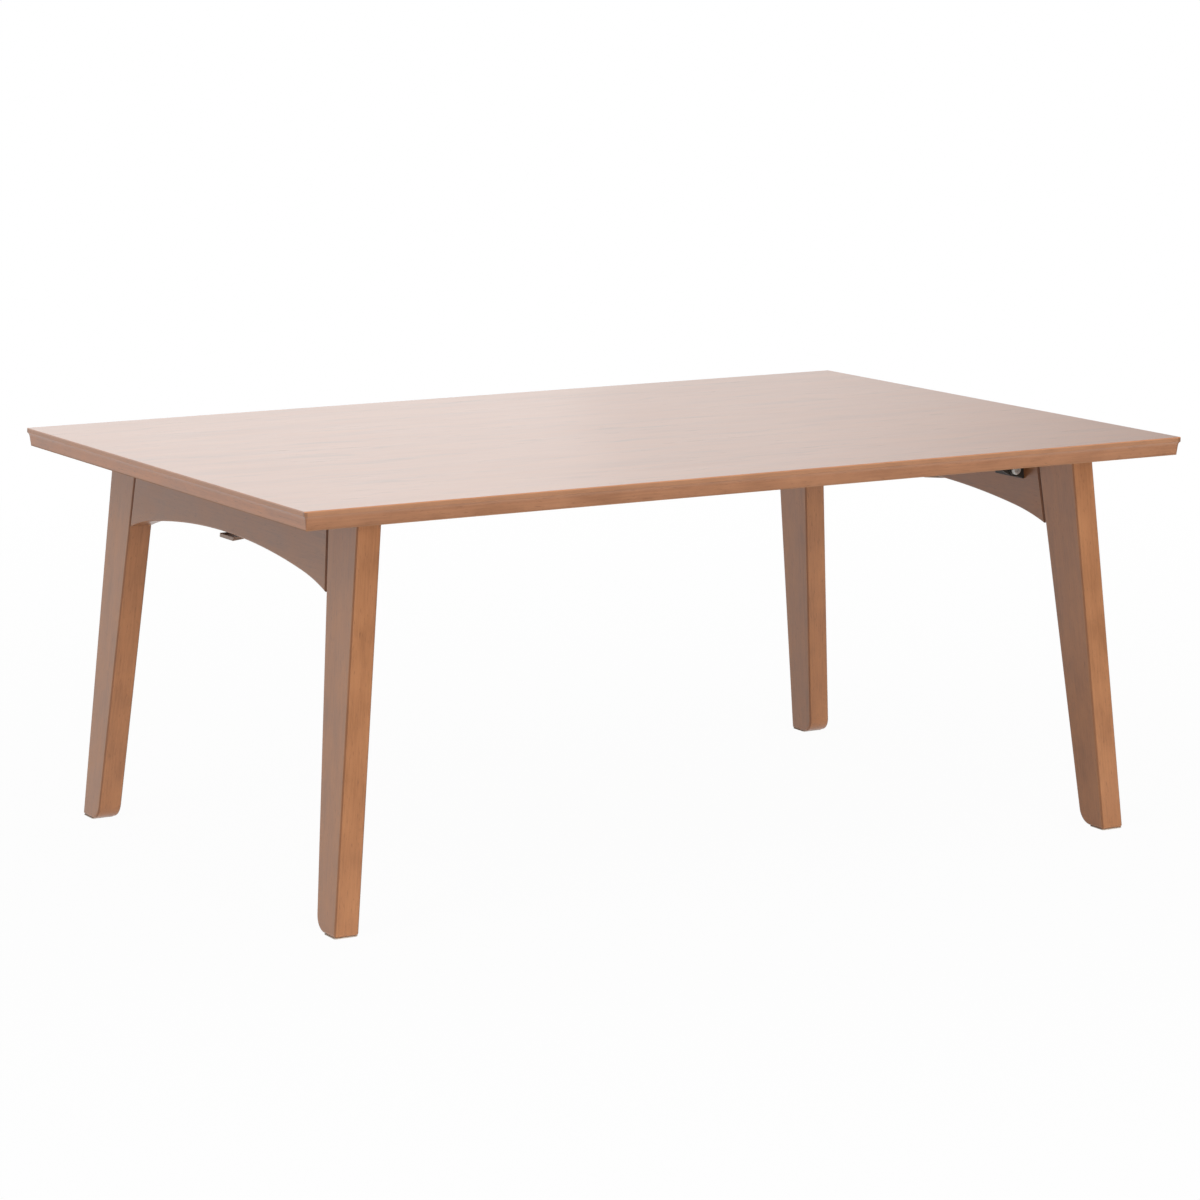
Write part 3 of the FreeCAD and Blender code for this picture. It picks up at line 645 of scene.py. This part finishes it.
# %% [markdown]
# ## Felt
# Pressed felt is a mat of short fibres that lie every way. It is dull and soft-edged, and a sheen gives
# it the faint pale bloom that felt has at its edges.

# %% Press the felt
felt_dark = (0.420, 0.330, 0.250, 1.0)
felt_light = (0.620, 0.520, 0.420, 1.0)


def felt_finish():
    """Pressed felt: matted fibres, dull, with a faint pale bloom."""
    material, tree, shader = new_finish("pressed_felt")
    where = along_grain(tree, along_table, (0.2, 0.6, 0.9))
    fibres = noise(tree, where, along=900.0, across=1500.0, detail=5.0, roughness=0.7, distortion=1.5)
    clumps = noise(tree, where, along=260.0, across=260.0, detail=3.0, roughness=0.6)
    mixed = weighed(tree, (fibres, 0.6), (clumps, 0.4))
    colour = blend_colours(tree, stretch(tree, mixed, 0.3, 0.7), felt_dark, felt_light)
    roughness = stretch(tree, mixed, 0.3, 0.7, 0.88, 0.98)
    set_surface(tree, shader, colour, roughness, mixed, strength=0.6, depth=0.0003)
    shader.inputs["Sheen Weight"].default_value = 0.3
    shader.inputs["Sheen Roughness"].default_value = 0.6
    return material


pressed_felt = felt_finish()
print("felt made:", pressed_felt.name)

# %% [markdown]
# ## Felt pads
# A thin square of pressed felt is glued under each foot. A block with sharp edges would look like
# plastic, so the pad starts as a block, its corners and then its rims are rounded, its faces are divided,
# and the surface is roughened a little, as cut felt is. The block starts a hair smaller than its solid,
# so that the roughened felt stays inside it.

# %% Cut one felt pad, then the other three
pad_skin = 0.00005
pad_corner = 0.002
pad_rim = 0.0002
pad_insets = (0.0005, 0.0009)
felt_fuzz = 0.00003


def is_upright(thing, edge):
    """Whether an edge of a block runs up and down."""
    start, end = (thing.data.vertices[corner].co for corner in edge.vertices)
    return abs(start.x - end.x) + abs(start.y - end.y) < abs(start.z - end.z)


def select_only(kind, elements, test):
    """Go into edit mode with only those edges or faces selected that pass a test."""
    bpy.ops.object.mode_set(mode="EDIT")
    bpy.ops.mesh.select_mode(type=kind)
    bpy.ops.mesh.select_all(action="DESELECT")
    bpy.ops.object.mode_set(mode="OBJECT")
    for element in elements:
        element.select = test(element)
    bpy.ops.object.mode_set(mode="EDIT")


def felt_pad(name, low, high):
    """A felt pad that fills the box of its solid."""
    bpy.ops.object.select_all(action="DESELECT")
    middle = (low + high) / 2
    size = high - low - Vector((pad_skin, pad_skin, pad_skin)) * 2
    bpy.ops.mesh.primitive_cube_add(size=1, location=middle, scale=size)
    pad = bpy.context.object
    pad.name = name
    bpy.ops.object.transform_apply(location=True, rotation=True, scale=True)
    select_only("EDGE", pad.data.edges, lambda edge: is_upright(pad, edge))
    bpy.ops.mesh.bevel(offset=pad_corner, segments=4)
    bpy.ops.object.mode_set(mode="OBJECT")
    select_only("FACE", pad.data.polygons, lambda face: abs(face.normal.z) > 0.9)
    bpy.ops.mesh.region_to_loop()
    bpy.ops.mesh.bevel(offset=pad_rim, segments=2)
    bpy.ops.object.mode_set(mode="OBJECT")
    select_only("FACE", pad.data.polygons, lambda face: abs(face.normal.z) > 0.99)
    for inset in pad_insets:
        bpy.ops.mesh.inset(thickness=inset)
    bpy.ops.mesh.select_all(action="SELECT")
    bpy.ops.mesh.subdivide(number_cuts=1, smoothness=0.0)
    bpy.ops.transform.vertex_random(offset=felt_fuzz, normal=0.6, seed=7)
    bpy.ops.object.mode_set(mode="OBJECT")
    bpy.ops.object.shade_smooth()
    return pad


for side in ("left", "right"):
    for end in ("front", "back"):
        solid = f"{side}_{end}_foot_pad"
        pad = felt_pad(f"{side}_{end}_felt", *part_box(solid))
        pad.data.materials.append(pressed_felt)
        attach(pad, f"{side}_leg_frame")
        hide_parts(solid)
print("felt pad has", len(pad.data.polygons), "faces")

# %% [markdown]
# ## A coil of wire
# Behind each finger tab a small coil spring lifts the latch. A curve with a round bevel could draw the
# wire; a ring of wire swept round an axis by the Screw modifier does it too, and gives even faces along
# the whole coil.

# %% Wind one coil
wire = 0.0006
coil_radius = 0.0020
coil_height = 0.0216
wire_sides = 8
turn_steps = 28


def coil(turns, rise, start):
    """So many turns of wire that climb by a rise each, from a start height."""
    bpy.ops.object.select_all(action="DESELECT")
    bpy.ops.mesh.primitive_circle_add(vertices=wire_sides, radius=wire / 2, location=(coil_radius, 0, start),
                                      rotation=(math.pi / 2, 0, 0))
    wound = bpy.context.object
    bpy.ops.object.transform_apply(location=True, rotation=True, scale=True)
    sweep = wound.modifiers.new("sweep", "SCREW")
    sweep.axis = "Z"
    sweep.angle = 2 * math.pi
    sweep.screw_offset = rise
    sweep.iterations = turns
    sweep.steps = turn_steps
    sweep.render_steps = turn_steps
    sweep.use_smooth_shade = True
    bpy.ops.object.modifier_apply(modifier=sweep.name)
    return wound


print("coil of %.1f mm wire, %.1f mm high" % (wire * 1000, coil_height * 1000))

# %% [markdown]
# ## Springs with closed ends
# The end coils of such a spring are wound shut, so that it stands square on its seat: one tight turn,
# eight open turns and one more tight turn. The three lengths are joined, their shared rings are merged,
# and the two cut ends of the wire are closed.

# %% Join the turns to a spring
open_turns = 8
shut_rise = wire * 1.02


def latch_spring(name, middle, up):
    """A spring with closed ends, centred on a point and leaned along a direction."""
    rise = (coil_height - wire - 2 * shut_rise) / open_turns
    low = -(coil_height - wire) / 2
    lengths = [coil(1, shut_rise, low), coil(open_turns, rise, low + shut_rise),
               coil(1, shut_rise, low + shut_rise + open_turns * rise)]
    bpy.ops.object.select_all(action="DESELECT")
    for length in lengths:
        length.select_set(True)
    spring = lengths[1]
    bpy.context.view_layer.objects.active = spring
    bpy.ops.object.join()
    bpy.ops.object.mode_set(mode="EDIT")
    bpy.ops.mesh.select_all(action="SELECT")
    bpy.ops.mesh.remove_doubles(threshold=wire / 50)
    bpy.ops.mesh.select_all(action="DESELECT")
    bpy.ops.mesh.select_mode(type="EDGE")
    bpy.ops.mesh.select_non_manifold()
    bpy.ops.mesh.fill()
    bpy.ops.mesh.select_all(action="SELECT")
    bpy.ops.mesh.normals_make_consistent(inside=False)
    bpy.ops.object.mode_set(mode="OBJECT")
    spring.name = name
    spring.location = middle
    spring.rotation_euler = Vector(up).to_track_quat("Z", "Y").to_euler()
    bpy.ops.object.transform_apply(location=True, rotation=True, scale=True)
    return spring


print("springs get", open_turns, "open turns")

# %% [markdown]
# ## The latch springs
# Each spring is leaned over with its leg frame, along the latch's own slide, along which the real spring is
# squashed when the tab is pulled. The box round a leaned solid isn't centred on it, so the coil is settled a
# little down its axis, to where the solid stands.

# %% Stand the springs on their seats
spring_settle = 0.0002

spring_wire = steel_finish("spring_wire", base=(0.52, 0.51, 0.49), spread=0.15, metal=1.0,
                           smoothest=0.25, roughest=0.40, specks_per_metre=400.0, bump=0.10)
joints = {joint["name"]: joint for joint in frame["joints"]}
for side in ("left", "right"):
    low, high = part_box(f"{side}_latch_spring")
    down = Vector(joints[f"{side}_latch_release"]["axis"])
    middle = (low + high) / 2 + down * spring_settle
    spring = latch_spring(f"{side}_coil_spring", middle, -down)
    spring.data.materials.append(spring_wire)
    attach(spring, f"{side}_leg_frame")
    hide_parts(f"{side}_latch_spring")
    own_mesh(spring)
print("springs wound with", len(spring.data.polygons), "faces each")

# %% [markdown]
# ## The size of the solids
# The box round the solids is printed.

# %% Print the box of the solids
print("solids", [tuple(round(v, 4) for v in c) for c in cad_box])
